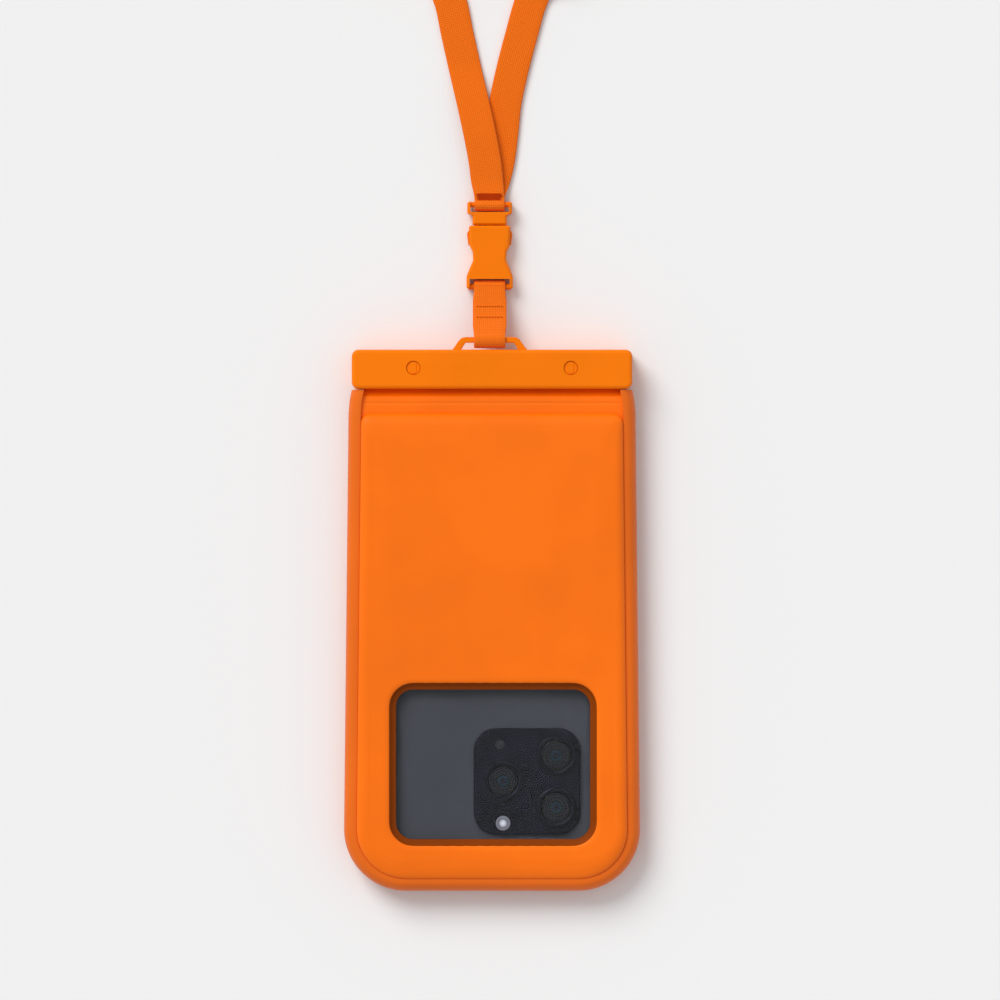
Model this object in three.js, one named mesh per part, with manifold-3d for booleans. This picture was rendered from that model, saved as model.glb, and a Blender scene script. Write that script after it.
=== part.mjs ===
// Waterproof phone pouch, lying on its front with the camera window up.
// Millimetres. X runs across the pouch, Y from its foot to its clamp bar and lanyard, Z up.
// The origin is on the surface it lies on, under the middle of the pouch and its lug.

import * as THREE from 'three';
import { mergeVertices } from 'three/addons/utils/BufferGeometryUtils.js';
import Module from 'manifold-3d';

const wasm = await Module();
wasm.setup();

// Outline of the pouch
const pouchWidth = 113;
const pouchLength = 206.5;
const shoulderTaper = 1.7;
const bottomRadius = 23.6;
const shoulderDrop = 10;
const cornerSteps = 8;

// Walls and clearances
const gap = 0.3;
const skin = 1.2;
const film = 0.5;
const sheet = 0.6;

// Rim bumper
const rimWidth = 4.8;
const rimHeight = 10.8;
const rimRound = 4;
const rimFall = 4.6;
const ledgeWidth = 3.2;
const ledgeHeight = 6.2;

// Front and back covers
const panelRound = 3.4;
const backPuff = 3;
const frontPuff = 2.4;
const neckLength = 9.15;
const panelCorner = 4;

// Windows
const cameraWindowBorder = 17;
const cameraWindowLength = 62;
const cameraWindowCorner = 9;
const cameraWindowX = 0.4;
const cameraWindowRise = 17.4;
const windowDepth = 2.4;
const windowLip = 1.4;
const backLap = 4.5;
const touchWindowBorder = 14.5;
const touchWindowRise = 19.2;
const touchWindowDrop = 11.15;
const touchWindowCorner = 7;
const frontLap = 3.5;

// Clamp bar
const barWidth = 107;
const barHeight = 15;
const barCorner = 2.6;
const barEdge = 1.4;
const backBarThickness = 5.6;
const frontBarFoot = 0.3;
const clampDepth = 3.9;
const sealWidth = 1.8;
const sealHeight = 1.5;
const sealOffset = 2.2;
const sealEnd = 4;

// Quarter-turn locks
const lockInset = 23.5;
const lockDrop = 7;
const knobRadius = 5;
const knobRecess = 3.4;
const knobBack = 1.4;
const gripWidth = 1.9;
const pinRadius = 1.4;
const pinSeat = 1.2;
const headLength = 4.8;
const headThickness = 1.2;
const headCover = 0.3;

// Lug on the back bar and the webbing loop through it
const lugX = -0.9;
const lugWidth = 32;
const lugHeight = 4.8;
const lugBar = 2.2;
const lugThickness = 3.2;
const lugFoot = 3.4;
const loopWidth = 12;
const loopLength = 20.5;
const webbing = 1.2;

// Side-release buckle
const buckleThickness = 6;
const buckleFloor = 0.3;
const buckleBar = 1.1;
const buckleWall = 0.95;
const socketLength = 24.4;
const socketWaist = 12.2;
const socketMouth = 13;
const cavityHeight = 2.8;
const cavityWall = 1.2;
const windowStart = 16.6;
const windowLength = 6.8;
const shoulderLength = 4.4;
const plugNeck = 10.7;
const headBarOffset = 3.4;
const armBulge = 14.2;
const armReach = 14.4;
const armWidth = 1.4;
const bladeWidth = 2.4;
const strapSlot = 1.8;

// Phone in the pocket
const phoneRoom = 17.5;
const phoneRise = 16.5;
const phoneHeadroom = 29.2;
const phoneThickness = 6.4;
const phoneCorner = 9.5;
const phoneX = -1;
const phoneEdge = 1.2;
const screenThickness = 0.6;
const screenInset = 1.5;
const islandSize = 40.6;
const islandCorner = 8.4;
const islandThickness = 1.2;
const islandSide = 4.4;
const islandEnd = 5.1;
const lensRadius = 7.4;
const lensHeight = 1;
const lensRing = 1.5;
const lensPlaces = { upper: [11.1, 9.8], lower: [11.1, -10], middle: [-9.1, 0.2] };
const flashRadius = 2.8;
const flashPlace = [-9.1, -16];
const sensorRadius = 1.9;
const sensorPlace = [-10.3, 14];

// Neck strap
const strapWidth = 11.5;
const strapRest = 0.2;
const leftRoute = [
  [-0.9, 0, 0], [-1.2, 4, -0.9], [-1.9, 9.5, -2.4], [-2.9, 17.5, -2.7], [-4.8, 27.5, -2.7],
  [-7.4, 39.5, -3], [-10.4, 52.5, -4.2], [-13.3, 65.5, -4.45], [-16, 78, -4.45],
];
const rightRoute = [
  [-0.7, 0, 0], [-0.5, 4, -0.1], [0.2, 9.5, -0.3], [1.6, 17.5, -0.35], [3.3, 27.5, -0.35],
  [5, 39.5, -0.35], [8, 52.5, -0.35], [11.4, 65.5, -0.35], [15, 78, -0.35],
];
const twistLength = 34;
const hankLength = 172;
const hankFootWidth = 50;
const hankWaist = 12.6;
const foldRadius = 16;
const foldSpacing = 12;
const waistShare = 0.47;
const tieLength = 8;
const tieThickness = 0.8;

// Heights, from the floor up
const frontFilmZ = skin + gap;
const screenZ = frontFilmZ + film + gap;
const phoneZ = screenZ + screenThickness + gap;
const islandZ = phoneZ + phoneThickness + gap;
const lensZ = islandZ + islandThickness + gap;
const backFilmZ = lensZ + lensHeight + gap;
const backTop = backFilmZ + film + windowDepth;
const middleZ = backTop / 2;
const ledgeTop = middleZ + ledgeHeight / 2;
const ledgeFoot = middleZ - ledgeHeight / 2;
const backSheetZ = middleZ + gap / 2 + sheet / 2;
const frontSheetZ = middleZ - gap / 2 - sheet / 2;
const backBarZ = backSheetZ + sheet / 2 + gap;
const frontBarZ = frontSheetZ - sheet / 2 - gap;
const barTop = backBarZ + backBarThickness;

// Places along the pouch
const footY = -(pouchLength + lugHeight) / 2;
const crownY = footY + pouchLength;
const barY = crownY - barHeight;
const panelY = barY - neckLength;
const shoulderY = barY - shoulderDrop;
const clampY = barY + clampDepth;
const lockY = crownY - lockDrop;
const panelInset = rimWidth + gap;
const cameraWindow = {
  width: pouchWidth - 2 * cameraWindowBorder,
  length: cameraWindowLength,
  corner: cameraWindowCorner,
  x: cameraWindowX,
  y: footY + cameraWindowRise + cameraWindowLength / 2,
};
const touchWindowLength = panelY - touchWindowDrop - (footY + touchWindowRise);
const touchWindow = {
  width: pouchWidth - 2 * touchWindowBorder,
  length: touchWindowLength,
  corner: touchWindowCorner,
  y: footY + touchWindowRise + touchWindowLength / 2,
};
const sealLength = barWidth - 2 * sealEnd;
const phoneWidth = pouchWidth - 2 * phoneRoom;
const phoneLength = pouchLength - phoneRise - phoneHeadroom;
const phoneY = footY + phoneRise + phoneLength / 2;
const islandX = phoneX + phoneWidth / 2 - islandSide - islandSize / 2;
const islandY = footY + phoneRise + islandEnd + islandSize / 2;

// Places along the lanyard
const lugY = crownY + lugHeight - lugBar / 2;
const lugZ = backBarZ + backBarThickness / 2 - gap;
const buckleZ = buckleFloor + buckleThickness / 2;
const socketBarY = lugY + loopLength;
const socketY = socketBarY - buckleBar;
const mouthY = socketY + socketLength;
const plugBarY = mouthY + gap + shoulderLength + headBarOffset;
const strapLift = buckleBar + gap + webbing / 2;
const hankY = plugBarY + leftRoute.at(-1)[1] + twistLength;
const hankFloor = tieThickness + gap;
const hankMiddle = hankY + hankLength * waistShare;

const material = (color, roughness, metalness = 0) =>
  new THREE.MeshStandardMaterial({ color, roughness, metalness });
const coverOrange = material(0xf57a28, 0.5);
const barOrange = material(0xf5760c, 0.35);
const strapOrange = material(0xf07014, 0.8);
const padGrey = material(0x55565a, 0.95);
const sealGrey = material(0xd8d8d4, 0.6);
const clearFilm = material(0xdfe8ea, 0.08);
const phoneGrey = material(0x454a50, 0.35, 0.2);
const glassBlack = material(0x14161c, 0.08);
const islandBlack = material(0x1c1e28, 0.25);
const ringDark = material(0x2b2d36, 0.3, 0.8);
const flashWhite = material(0xe8e6dc, 0.3);

// The same shape with its faces turned outward
function outward(geometry) {
  const place = geometry.attributes.position;
  const index = geometry.index.array;
  const corner = (k) => new THREE.Vector3().fromBufferAttribute(place, index[k]);
  let volume = 0;
  for (let k = 0; k < index.length; k += 3) {
    volume += corner(k).dot(corner(k + 1).cross(corner(k + 2)));
  }
  if (volume < 0) index.reverse();
  return geometry;
}

// A closed skin through rings of points; the contour gives the flat ends' triangles
function loft(rings, contour) {
  const count = contour.length;
  const positions = rings.flat().flatMap((point) => [point.x, point.y, point.z]);
  const index = [];
  for (let ring = 0; ring < rings.length - 1; ring++) {
    for (let k = 0; k < count; k++) {
      const a = ring * count + k;
      const b = ring * count + ((k + 1) % count);
      index.push(a, b, b + count, a, b + count, a + count);
    }
  }
  const last = (rings.length - 1) * count;
  const clockwise = THREE.ShapeUtils.isClockWise(contour);
  for (const [a, b, c] of THREE.ShapeUtils.triangulateShape(contour, [])) {
    const flip = clockwise ? [a, b, c] : [c, b, a];
    index.push(...flip, ...flip.map((k) => last + k).reverse());
  }
  const geometry = new THREE.BufferGeometry();
  geometry.setAttribute('position', new THREE.Float32BufferAttribute(positions, 3));
  geometry.setIndex(index);
  return outward(geometry);
}

// A plate whose outline moves in or out with height; levels are [inset, z]
function plate(outline, levels) {
  const ring = ([inset, z]) => outline(inset).map((p) => new THREE.Vector3(p.x, p.y, z));
  return loft(levels.map(ring), outline(levels[0][0]));
}

// A section of [inset, z] points carried along a path
function sweep(path, section) {
  const lines = section.map(([inset, z]) => path(inset).map((p) => new THREE.Vector3(p.x, p.y, z)));
  const rings = lines[0].map((_, station) => lines.map((line) => line[station]));
  return loft(rings, section.map(([inset, z]) => new THREE.Vector2(inset, z)));
}

// A shape drawn in Y and Z, as wide in X as given
function acrossX(shape, width, x = 0, curveSegments = 8) {
  const geometry = new THREE.ExtrudeGeometry(shape, { depth: width, bevelEnabled: false, curveSegments });
  const turn = new THREE.Matrix4().makeBasis(
    new THREE.Vector3(0, 1, 0),
    new THREE.Vector3(0, 0, 1),
    new THREE.Vector3(1, 0, 0),
  );
  return geometry.applyMatrix4(turn).translate(x - width / 2, 0, 0);
}

function box(width, length, height, x, y, z) {
  return new THREE.BoxGeometry(width, length, height).translate(x, y, z + height / 2);
}

function disc(radius, height, x, y, z, segments = 32) {
  const geometry = new THREE.CylinderGeometry(radius, radius, height, segments);
  return geometry.rotateX(Math.PI / 2).translate(x, y, z + height / 2);
}

function rodAlongX(radius, length, x, y, z) {
  return new THREE.CylinderGeometry(radius, radius, length, 20).rotateZ(Math.PI / 2).translate(x, y, z);
}

// Booleans
function solid(geometry) {
  const bare = new THREE.BufferGeometry();
  bare.setAttribute('position', geometry.attributes.position.clone());
  if (geometry.index) bare.setIndex(geometry.index.clone());
  const merged = mergeVertices(bare, 1e-4);
  return new wasm.Manifold(new wasm.Mesh({
    numProp: 3,
    vertProperties: Float32Array.from(merged.attributes.position.array),
    triVerts: Uint32Array.from(merged.index.array),
  }));
}

function shapeOf(body) {
  const { vertProperties, triVerts, numProp } = body.getMesh();
  const geometry = new THREE.BufferGeometry();
  const positions = [];
  for (let k = 0; k < vertProperties.length; k += numProp) {
    positions.push(...vertProperties.subarray(k, k + 3));
  }
  geometry.setAttribute('position', new THREE.Float32BufferAttribute(positions, 3));
  geometry.setIndex(Array.from(triVerts));
  return geometry;
}

const join = (...shapes) => shapeOf(shapes.map(solid).reduce((all, next) => all.add(next)));
const cut = (shape, ...tools) => shapeOf(tools.map(solid).reduce((all, next) => all.subtract(next), solid(shape)));

// Points of an arc, both ends included
function arc(x, y, radius, from, to, steps) {
  return Array.from({ length: steps + 1 }, (_, k) => {
    const angle = from + ((to - from) * k) / steps;
    return new THREE.Vector2(x + radius * Math.cos(angle), y + radius * Math.sin(angle));
  });
}

// Outline of a rectangle with round corners, counter-clockwise
function roundedBox({ width, length, corner, x = 0, y = 0 }) {
  return (inset = 0) => {
    const radius = Math.max(corner - inset, 0.05);
    const dx = width / 2 - inset - radius;
    const dy = length / 2 - inset - radius;
    const quarter = Math.PI / 2;
    return [[1, -1], [1, 1], [-1, 1], [-1, -1]].flatMap(([sx, sy], turn) =>
      arc(x + sx * dx, y + sy * dy, radius, (turn - 1) * quarter, turn * quarter, 6));
  };
}

// Levels of a rounded edge that ends at the given height
function roundedLevels(inset, z, across, down, steps = 4) {
  return Array.from({ length: steps + 1 }, (_, k) => {
    const angle = (k / steps) * (Math.PI / 2);
    return [inset + across * (1 - Math.cos(angle)), z - down * (1 - Math.sin(angle))];
  });
}

function halfWidthAt(y) {
  const low = footY + bottomRadius;
  const shoulder = pouchWidth / 2 - shoulderTaper;
  if (y <= shoulderY) {
    return THREE.MathUtils.mapLinear(Math.max(y, low), low, shoulderY, pouchWidth / 2, shoulder);
  }
  const up = (y - shoulderY) / (barY - shoulderY);
  return shoulder - (shoulder - barWidth / 2) * up * up;
}

// Right side of the pouch from the middle of its foot to the given height
function rightSide(inset, topY) {
  const radius = bottomRadius - inset;
  const low = footY + bottomRadius;
  const corner = arc(pouchWidth / 2 - bottomRadius, low, radius, -Math.PI / 2, 0, cornerSteps);
  const heights = [0.33, 0.67, 1].map((part) => THREE.MathUtils.lerp(low, Math.min(shoulderY, topY), part));
  if (topY > shoulderY) {
    heights.push(...[0.33, 0.67, 1].map((part) => THREE.MathUtils.lerp(shoulderY, topY, part)));
  }
  return [...corner, ...heights.map((y) => new THREE.Vector2(halfWidthAt(y) - inset, y))];
}

const mirrored = (points) => points.map((p) => new THREE.Vector2(-p.x, p.y)).reverse();

// Open path round the foot, from the top of the left side to the top of the right side
const rimPath = (topY) => (inset) => {
  const right = rightSide(inset, topY);
  return [...mirrored(right), ...right];
};

// Closed outline of a cover, its top corners round
function panelOutline(inset) {
  const top = panelY - (inset - panelInset);
  const radius = Math.max(panelCorner - (inset - panelInset), 0.4);
  const side = rightSide(inset, top - radius);
  const corner = arc(halfWidthAt(top) - inset - radius, top - radius, radius, 0, Math.PI / 2, 4);
  const right = [...side.slice(0, -1), ...corner];
  return [...mirrored(right), ...right];
}

// Sheet of the neck, its profile given as [y, z] along its middle and its sides kept beside the rim
function neckSheet(profile) {
  const curve = new THREE.CatmullRomCurve3(profile.map(([y, z]) => new THREE.Vector3(0, y, z)), false, 'centripetal');
  const corners = [[1, 1], [-1, 1], [-1, -1], [1, -1]];
  const steps = 24;
  const rings = Array.from({ length: steps + 1 }, (_, k) => {
    const point = curve.getPointAt(k / steps);
    const along = curve.getTangentAt(k / steps);
    const half = halfWidthAt(Math.min(point.y, barY)) - panelInset;
    return corners.map(([across, up]) => new THREE.Vector3(
      across * half,
      point.y - (up * along.z * sheet) / 2,
      point.z + (up * along.y * sheet) / 2,
    ));
  });
  return loft(rings, corners.map(([x, y]) => new THREE.Vector2(x, y)));
}

// A closed band of even thickness along a plane curve
function bandShape(curve, thickness, steps) {
  const side = (sign) => Array.from({ length: steps }, (_, k) => {
    const point = curve.getPointAt(k / steps);
    const along = curve.getTangentAt(k / steps);
    const shift = (sign * thickness) / 2;
    return new THREE.Vector2(point.x - along.y * shift, point.y + along.x * shift);
  });
  const shape = new THREE.Shape(side(-1));
  shape.holes.push(new THREE.Path(side(1)));
  return shape;
}

function rimBumper() {
  const [foot, top] = [middleZ - rimHeight / 2, middleZ + rimHeight / 2];
  const outer = [
    ...roundedLevels(0, top, rimRound, rimFall).reverse(),
    ...roundedLevels(0, foot, rimRound, -rimFall),
  ];
  const band = sweep(rimPath(barY - gap), [
    ...outer,
    [rimWidth - 0.5, foot],
    [rimWidth, foot + 0.5],
    [rimWidth, top - 0.5],
    [rimWidth - 0.5, top],
  ]);
  const ledge = sweep(rimPath(panelY - panelRound), [
    [rimWidth - 1, ledgeTop],
    [rimWidth - 1, ledgeFoot],
    [rimWidth + ledgeWidth, ledgeFoot],
    [rimWidth + ledgeWidth, ledgeTop],
  ]);
  return join(band, ledge);
}

function backPanel() {
  const foot = ledgeTop + gap;
  const outer = plate(panelOutline, [[panelInset, foot], ...roundedLevels(panelInset, backTop, panelRound, backPuff)]);
  const inner = plate(panelOutline, [
    [panelInset + skin, foot - skin],
    ...roundedLevels(panelInset + skin, backTop - skin, panelRound, backPuff),
  ]);
  const lipFoot = backFilmZ + film + gap;
  const lip = plate(roundedBox(cameraWindow), [[-windowLip, lipFoot], [-windowLip, backTop]]);
  const opening = plate(roundedBox(cameraWindow), [
    [0, lipFoot - skin],
    [0, backTop - 0.6],
    [-0.9, backTop + 0.3],
  ]);
  const neck = neckSheet([
    [panelY - skin / 2, backTop - backPuff],
    [panelY + 3.6, backTop - backPuff - 0.5],
    [panelY + 5.8, backTop - backPuff - 1.2],
    [barY - 1, backSheetZ + 0.5],
    [barY + 0.6, backSheetZ],
    [clampY, backSheetZ],
  ]);
  return join(cut(outer, cut(inner, lip), opening), neck);
}

function frontPanel() {
  const top = ledgeFoot - gap;
  const round = (inset, z) => roundedLevels(inset, z, panelRound, -frontPuff).reverse();
  const outer = plate(panelOutline, [...round(panelInset, 0), [panelInset, top]]);
  const inner = plate(panelOutline, [...round(panelInset + skin, skin), [panelInset + skin, top + skin]]);
  const opening = plate(roundedBox(touchWindow), [[-0.6, -0.3], [0, 0.6], [0, skin + 0.3]]);
  const neck = neckSheet([
    [panelY - skin / 2, top - 1.6],
    [panelY + 3.6, top - 1.3],
    [panelY + 5.8, top - 0.4],
    [barY - 1, frontSheetZ - 0.5],
    [barY + 0.6, frontSheetZ],
    [clampY, frontSheetZ],
  ]);
  return join(cut(outer, inner, opening), neck);
}

function floatPad() {
  const inset = panelInset + skin + gap;
  const pad = plate(panelOutline, [
    [inset, ledgeTop + gap],
    ...roundedLevels(inset, backTop - skin - gap, panelRound, backPuff).slice(1),
  ]);
  const margin = backLap + gap;
  const opening = plate(roundedBox(cameraWindow), [[-margin, 0], [-margin, backTop]]);
  return cut(pad, opening);
}

const windowFilm = (opening, lap, z) => plate(roundedBox(opening), [[-lap, z], [-lap, z + film]]);

const barOutline = roundedBox({
  width: barWidth, length: barHeight, corner: barCorner, y: crownY - barHeight / 2,
});

// The low arch above the bar that the webbing loop hangs on
function lugArch() {
  const half = lugWidth / 2;
  const arch = new THREE.Shape()
    .moveTo(half, -1)
    .bezierCurveTo(half - lugFoot, 0, half - lugFoot, lugHeight, half - 2 * lugFoot, lugHeight)
    .lineTo(-half + 2 * lugFoot, lugHeight)
    .bezierCurveTo(-half + lugFoot, lugHeight, -half + lugFoot, 0, -half, -1);
  const eye = new THREE.Path()
    .moveTo(-half + 1.5 * lugFoot, 0)
    .lineTo(-half + 2 * lugFoot, lugHeight - lugBar)
    .lineTo(half - 2 * lugFoot, lugHeight - lugBar)
    .lineTo(half - 1.5 * lugFoot, 0);
  arch.holes.push(eye);
  const bevel = 0.4;
  const geometry = new THREE.ExtrudeGeometry(arch, {
    depth: lugThickness - 2 * bevel,
    bevelThickness: bevel,
    bevelSize: bevel,
    bevelOffset: -bevel,
    bevelSegments: 2,
    curveSegments: 8,
  });
  return geometry.translate(lugX, crownY, lugZ - lugThickness / 2 + bevel);
}

const lockPlaces = { left: lockInset - barWidth / 2, right: barWidth / 2 - lockInset };
const headTop = barTop - headCover;
const headZ = headTop - headThickness;
const recessRadius = headLength / 2 + gap;

function backBar() {
  const body = plate(barOutline, [[0, backBarZ], ...roundedLevels(0, barTop, barEdge, barEdge)]);
  const cuts = Object.values(lockPlaces).flatMap((x) => [
    disc(recessRadius, backBarThickness, x, lockY, headZ - gap),
    plate(roundedBox({
      width: headLength + 2 * gap, length: 2 * (pinRadius + gap), corner: pinRadius + gap, x, y: lockY,
    }), [[0, backBarZ - 1], [0, barTop]]),
  ]);
  return join(cut(body, ...cuts), lugArch());
}

function frontBar() {
  const edge = roundedLevels(0, frontBarFoot, barEdge, -barEdge).reverse();
  const body = plate(barOutline, [...edge, [0, backBarZ - gap]]);
  const step = clampDepth + gap;
  const cuts = [
    box(barWidth + 2, step + 1, barHeight, 0, barY - 1 + (step + 1) / 2, frontBarZ),
    box(sealLength + 2 * gap, sealWidth + 2 * gap, barHeight, 0, barY + sealOffset, frontBarZ - sealHeight - gap),
    ...Object.values(lockPlaces).flatMap((x) => [
      disc(knobRadius + gap, knobRecess + 1, x, lockY, frontBarFoot - 1),
      disc(pinRadius + gap, backTop, x, lockY, 0),
    ]),
  ];
  return cut(body, ...cuts);
}

function barSeal() {
  const half = sealWidth / 2;
  const top = frontBarZ;
  const bead = new THREE.Shape()
    .moveTo(-half, top - sealHeight)
    .lineTo(half, top - sealHeight)
    .lineTo(half, top - half)
    .absarc(0, top - half, half, 0, Math.PI);
  return acrossX(bead, sealLength).translate(0, barY + sealOffset, 0);
}

// A flush disc with a grip rib between two finger scoops
function lockKnob(x) {
  const top = frontBarFoot + knobRecess - gap;
  const foot = frontBarFoot + 0.2;
  const body = disc(knobRadius, top - foot, x, lockY, foot, 40);
  const scoopRadius = knobRadius - 1;
  const scoop = disc(scoopRadius, 1 + top - foot - knobBack, x, lockY, foot - 1);
  const rib = box(gripWidth, 2 * knobRadius, backTop, x, lockY, foot - 1);
  const bore = disc(pinRadius + gap, backTop, x, lockY, top - pinSeat);
  return cut(body, cut(scoop, rib), bore);
}

// A round pin with a cross head that has passed the slot and turned
function lockPin(x) {
  const foot = frontBarFoot + knobRecess - pinSeat;
  const shaft = disc(pinRadius, headZ + headThickness / 2 - foot, x, lockY, foot, 24);
  const head = plate(roundedBox({
    width: 2 * pinRadius, length: headLength, corner: pinRadius - 0.1, x, y: lockY,
  }), [[0, headZ], [0, headTop - 0.3], [0.3, headTop]]);
  return join(shaft, head);
}

// The webbing loop from the lug to the buckle, pinched where it is sewn
function lugLoop() {
  const [from, to] = [new THREE.Vector2(lugY, lugZ), new THREE.Vector2(socketBarY, buckleZ)];
  const span = from.distanceTo(to);
  const eyeA = Math.hypot(lugBar, lugThickness) / 2 + webbing / 2;
  const eyeB = buckleBar + gap + webbing / 2;
  const pinch = (webbing + gap) / 2;
  const degrees = THREE.MathUtils.degToRad;
  const middle = [
    ...arc(0, 0, eyeA, degrees(60), degrees(300), 6),
    new THREE.Vector2(span * 0.38, -pinch),
    new THREE.Vector2(span * 0.62, -pinch),
    ...arc(span, 0, eyeB, degrees(-120), degrees(120), 6),
    new THREE.Vector2(span * 0.62, pinch),
    new THREE.Vector2(span * 0.38, pinch),
  ];
  const slope = to.clone().sub(from).angle();
  const route = middle.map((point) => {
    const place = point.rotateAround(new THREE.Vector2(), slope).add(from);
    return new THREE.Vector3(place.x, place.y, 0);
  });
  const curve = new THREE.CatmullRomCurve3(route, true, 'centripetal');
  return acrossX(bandShape(curve, webbing, 56), loopWidth, lugX);
}

// Outline that mirrors [y, half width] pairs about the lanyard's middle
function mirroredOutline(pairs) {
  const bottom = pairs[0][0];
  const top = pairs.at(-1)[0];
  return (inset = 0) => {
    const clamp = (y) => THREE.MathUtils.clamp(y, bottom + inset, top - inset);
    const right = pairs.map(([y, half]) => new THREE.Vector2(lugX + half - inset, clamp(y)));
    const left = pairs.map(([y, half]) => new THREE.Vector2(lugX - half + inset, clamp(y)));
    return [...right, ...left.reverse()];
  };
}

const buckleLevels = (thickness, edge) => [
  [edge, buckleZ - thickness / 2],
  [0, buckleZ - thickness / 2 + edge],
  [0, buckleZ + thickness / 2 - edge],
  [edge, buckleZ + thickness / 2],
];

function buckleSocket() {
  const half = loopWidth / 2 + gap + buckleWall;
  const body = plate(mirroredOutline([
    [socketY, half - 0.8],
    [socketY + 0.8, half],
    [socketY + 5, half],
    [socketY + 8.5, socketWaist / 2 + 0.3],
    [socketY + 11, socketWaist / 2],
    [socketY + 14.5, socketWaist / 2],
    [socketY + windowStart, socketMouth / 2],
    [mouthY - 0.6, socketMouth / 2],
    [mouthY, socketMouth / 2 - 0.6],
  ]), buckleLevels(buckleThickness, 0.7));
  const slotEnd = socketBarY + buckleBar + strapSlot;
  const slot = box(half * 2 - 2 * buckleWall, slotEnd - socketY + 1, 20, lugX, (slotEnd + socketY - 1) / 2, -5);
  const bar = rodAlongX(buckleBar, 2 * half - buckleWall, lugX, socketBarY, buckleZ);
  const cavityY = mouthY - armReach - gap;
  const cavityWidth = socketWaist - 2 * cavityWall;
  const lowZ = buckleZ - cavityHeight / 2;
  const cavity = box(cavityWidth, armReach + gap + 1, cavityHeight, lugX, cavityY + (armReach + gap + 1) / 2, lowZ);
  const sideWindow = box(30, windowLength, cavityHeight, lugX, socketY + windowStart + windowLength / 2, lowZ);
  return join(cut(body, slot, cavity, sideWindow), bar);
}

function bucklePlug() {
  const foot = mouthY + gap;
  const headY = foot + shoulderLength;
  const half = strapWidth / 2 + gap + buckleWall;
  const head = plate(mirroredOutline([
    [foot, plugNeck / 2],
    [headY - 1, plugNeck / 2],
    [headY, half],
    [plugBarY + buckleBar - 0.6, half],
    [plugBarY + buckleBar, half - 0.6],
  ]), buckleLevels(buckleThickness - 0.8, 0.7));
  const slotStart = plugBarY - buckleBar - strapSlot;
  const slot = box(2 * (half - buckleWall), 12, 20, lugX, slotStart + 6, -5);
  const bar = rodAlongX(buckleBar - 0.05, 2 * half - buckleWall, lugX, plugBarY, buckleZ);
  const thickness = cavityHeight - 2 * gap;
  const lowZ = buckleZ - thickness / 2;
  const blade = box(bladeWidth, armReach - 1.4, thickness, lugX, foot + 0.5 - (armReach - 1.4) / 2, lowZ);
  const catchY = socketY + windowStart + gap;
  const inside = socketWaist / 2 - cavityWall - gap;
  const tipY = mouthY - armReach + gap;
  const arm = new THREE.Shape()
    .moveTo(plugNeck / 2 - armWidth - 0.6, foot + 0.5)
    .lineTo(plugNeck / 2 - 0.6, foot + 0.5)
    .lineTo(inside, mouthY - 0.9)
    .quadraticCurveTo(armBulge / 2, mouthY - 1.6, armBulge / 2, mouthY - 3.4)
    .lineTo(armBulge / 2 - 0.2, catchY)
    .lineTo(inside, catchY)
    .lineTo(inside, tipY + 1.5)
    .quadraticCurveTo(inside, tipY, inside - 1, tipY)
    .lineTo(inside - armWidth, tipY + 0.4)
    .lineTo(inside - armWidth, catchY)
    .quadraticCurveTo(inside - 0.3, mouthY - 4, inside - armWidth, mouthY - 1);
  const arms = [1, -1].map((side) => {
    const geometry = new THREE.ExtrudeGeometry(arm, { depth: thickness, bevelEnabled: false, curveSegments: 5 });
    if (side < 0) geometry.rotateY(Math.PI).translate(0, 0, thickness);
    return geometry.translate(lugX, 0, lowZ);
  });
  return join(cut(head, slot), bar, blade, ...arms);
}

const phoneOutline = roundedBox({
  width: phoneWidth, length: phoneLength, corner: phoneCorner, x: phoneX, y: phoneY,
});

function phoneBody() {
  const top = phoneZ + phoneThickness;
  return plate(phoneOutline, [
    ...roundedLevels(0, phoneZ, phoneEdge, -phoneEdge, 3).reverse(),
    ...roundedLevels(0, top, phoneEdge, phoneEdge, 3),
  ]);
}

function cameraIsland() {
  const outline = roundedBox({
    width: islandSize, length: islandSize, corner: islandCorner, x: islandX, y: islandY,
  });
  return plate(outline, [[0, islandZ], ...roundedLevels(0, islandZ + islandThickness, 0.5, 0.5, 2)]);
}

// A lens ring with a stepped bore
function lensRim(x, y) {
  const inner = lensRadius - lensRing;
  const profile = [
    [inner, 0], [lensRadius, 0], [lensRadius, lensHeight - 0.3], [lensRadius - 0.3, lensHeight],
    [inner + 0.4, lensHeight], [inner, lensHeight - 0.4], [inner, 0],
  ].map(([r, z]) => new THREE.Vector2(r, z));
  return new THREE.LatheGeometry(profile, 40).rotateX(Math.PI / 2).translate(islandX + x, islandY + y, lensZ);
}

const onIsland = (radius, height, [x, y]) =>
  disc(radius, height, islandX + x, islandY + y, lensZ);

// A flat strap through given centres, its width along the given directions
function ribbon(centres, across) {
  const [w, t] = [strapWidth / 2, webbing / 2];
  const section = [[w - t, -t], [w, -t / 2], [w, t / 2], [w - t, t], [t - w, t], [-w, t / 2], [-w, -t / 2], [t - w, -t]];
  const rings = centres.map((centre, k) => {
    const next = centres[Math.min(k + 1, centres.length - 1)];
    const along = next.clone().sub(centres[Math.max(k - 1, 0)]).normalize();
    const width = across[k].clone().addScaledVector(along, -across[k].dot(along)).normalize();
    const normal = along.cross(width);
    return section.map(([a, b]) => centre.clone().addScaledVector(width, a).addScaledVector(normal, b));
  });
  return loft(rings, section.map(([a, b]) => new THREE.Vector2(a, b)));
}

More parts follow.
